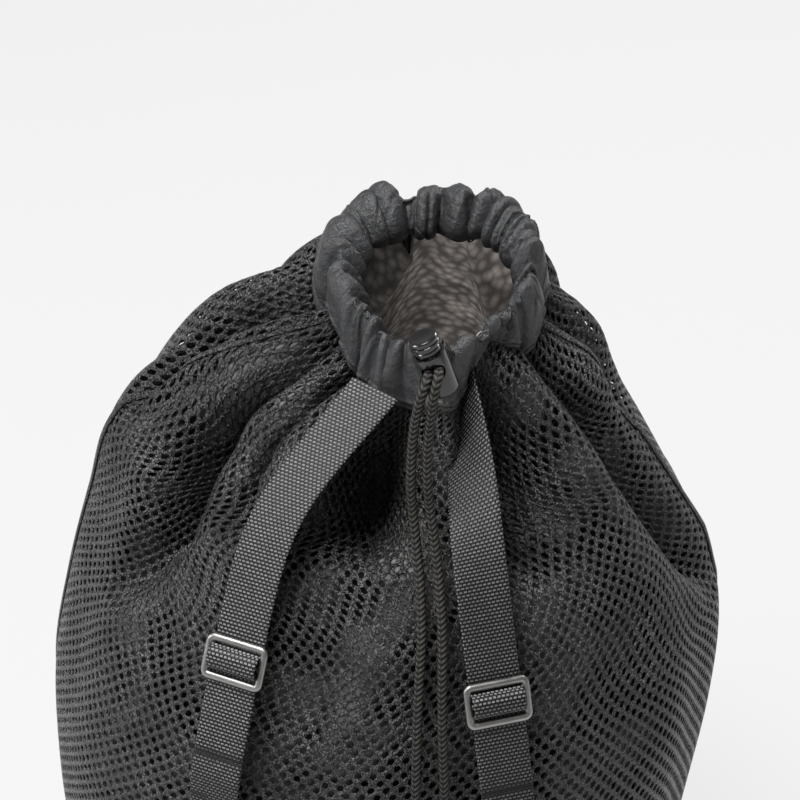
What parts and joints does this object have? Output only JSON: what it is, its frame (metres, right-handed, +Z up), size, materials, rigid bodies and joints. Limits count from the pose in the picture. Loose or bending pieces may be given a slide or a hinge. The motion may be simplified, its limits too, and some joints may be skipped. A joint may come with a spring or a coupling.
{
  "type": "mesh ball bag",
  "caption": "Stuffed mesh drawstring bag for sports balls, with a gathered nylon collar, braided cord and lock, and adjustable webbing shoulder straps.",
  "frame": {"origin": "middle of the base panel's underside, on the ground", "axes": "+Z up from the base to the mouth; the straps and cord lock face -Y; +X is to the right of someone facing the front"},
  "size_m": [0.3533, 0.3359, 0.4749],
  "materials": {
    "mesh_fabric": "knitted polyester mesh, semi-matt",
    "coated_nylon": "coated nylon, satin",
    "webbing": "ribbed polypropylene webbing",
    "braided_cord": "braided polyester cord",
    "lock_plastic": "satin to gloss acetal",
    "satin_nickel": "satin nickel",
    "spring_steel": "bright spring wire",
    "thread": "sewing thread"
  },
  "bodies": {
    "bag": {"body_front": "mesh_fabric", "body_back": "mesh_fabric", "side_seam_left": "coated_nylon", "side_seam_right": "coated_nylon", "base_panel": "coated_nylon", "base_seam_tape": "coated_nylon", "collar_tunnel": "coated_nylon", "collar_seam_tape": "coated_nylon", "drawcord_loop": "braided_cord", "drawcord_tail_left": "braided_cord", "drawcord_tail_right": "braided_cord", "cord_knot_left": "braided_cord", "cord_knot_right": "braided_cord", "strap_front_left": "webbing", "strap_return_left": "webbing", "strap_turn_left": "webbing", "ring_tab_left": "webbing", "strap_tack_left": "thread", "strap_ring_left": "satin_nickel", "strap_front_right": "webbing", "strap_return_right": "webbing", "strap_turn_right": "webbing", "ring_tab_right": "webbing", "strap_tack_right": "thread", "strap_ring_right": "satin_nickel"},
    "cord_lock": {"cord_lock_barrel": "lock_plastic", "cord_lock_spring": "spring_steel"},
    "lock_plunger": {"cord_lock_plunger": "lock_plastic"},
    "adjuster_left": {"adjuster_slide_left": "satin_nickel", "strap_arch_left": "webbing"},
    "adjuster_right": {"adjuster_slide_right": "satin_nickel", "strap_arch_right": "webbing"}
  },
  "joints": [
    {"name": "cord_lock_slide", "type": "slide", "parent": "bag", "child": "cord_lock", "axis": [-0.0999, -0.5793, -0.809], "range_m": [0, 0.06], "deforming": ["drawcord_loop", "drawcord_tail_left", "drawcord_tail_right"]},
    {"name": "plunger_press", "type": "slide", "parent": "cord_lock", "child": "lock_plunger", "axis": [0.342, 0, -0.9397], "range_m": [0, 0.004], "stiffness_N_per_m": 800, "springref_m": -0.004, "deforming": ["cord_lock_spring"]},
    {"name": "adjuster_left_slide", "type": "slide", "parent": "bag", "child": "adjuster_left", "axis": [-0.2032, -0.4292, -0.8801], "range_m": [-0.04, 0.04]},
    {"name": "adjuster_right_slide", "type": "slide", "parent": "bag", "child": "adjuster_right", "axis": [0.1268, -0.4115, -0.9025], "range_m": [-0.04, 0.04]}
  ]
}
